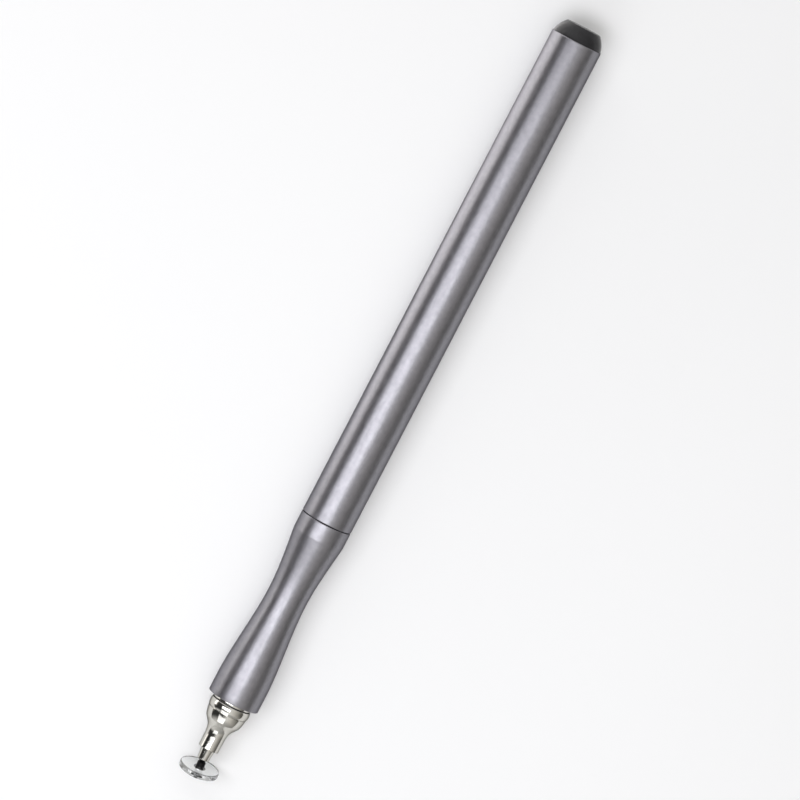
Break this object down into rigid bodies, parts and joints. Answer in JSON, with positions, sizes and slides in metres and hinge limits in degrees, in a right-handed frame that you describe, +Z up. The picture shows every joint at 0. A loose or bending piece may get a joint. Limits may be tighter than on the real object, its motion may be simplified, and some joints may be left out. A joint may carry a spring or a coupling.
{
  "type": "stylus pen",
  "caption": "Slim metal stylus pen with a waisted screw-on grip, a turned bright nose, a sprung stem and a clear touch disc that swivels on a ball.",
  "frame": {"origin": "under the middle of the pen's length, on the surface that the pen lies on", "axes": "+X along the pen from the disc towards the tail, +Z up from the surface it lies on"},
  "size_m": [0.1424, 0.0092, 0.0092],
  "materials": {
    "satin_body": "bead-blasted and grey anodised, satin",
    "dark_plug": "dark grey, polished",
    "brass": "turned",
    "seal_rubber": "black, moulded",
    "bright_plate": "turned and bright plated",
    "spring_steel": "drawn wire",
    "black_contact": "black, conductive",
    "clear_disc": "clear, polished"
  },
  "bodies": {
    "barrel": {"barrel_tube": "satin_body", "tail_plug": "dark_plug", "thread_bush": "brass"},
    "seal": {"joint_o_ring": "seal_rubber"},
    "front": {"grip_shell": "satin_body", "joint_spigot": "brass", "mouth_insert": "bright_plate", "nose_washer": "seal_rubber", "nose_cone": "bright_plate", "spring_retainer": "brass", "tip_spring": "spring_steel"},
    "seat": {"spring_seat": "brass"},
    "stem": {"tip_stem": "bright_plate"},
    "tip": {"ball_stud": "black_contact", "tip_disc": "clear_disc", "foot_washer": "black_contact"}
  },
  "joints": [
    {"name": "front_advance", "type": "slide", "parent": "barrel", "child": "seal", "axis": [-1, 0, 0], "range_m": [0, 0.00487]},
    {"name": "front_unscrew", "type": "hinge", "parent": "seal", "child": "front", "pos_m": [-0.02249, 0, 0.0046], "axis": [-1, 0, 0], "range_deg": [0, 2340.5]},
    {"name": "tip_press", "type": "slide", "parent": "front", "child": "seat", "axis": [1, 0, 0], "range_m": [0, 0.0008], "stiffness_N_per_m": 400, "springref_m": -0.0015, "deforming": ["tip_spring"]},
    {"name": "tip_spin", "type": "hinge", "parent": "seat", "child": "stem", "pos_m": [-0.06784, 0, 0.0046], "axis": [1, 0, 0], "continuous": true},
    {"name": "disc_tilt", "type": "hinge", "parent": "stem", "child": "tip", "pos_m": [-0.06784, 0, 0.0046], "axis": [0, -0.9403, 0.3404], "range_deg": [-40.9, 15.1]}
  ],
  "couplings": [
    {"joint": "front_unscrew", "follows": "front_advance", "rad_per_m": 8377.6}
  ]
}
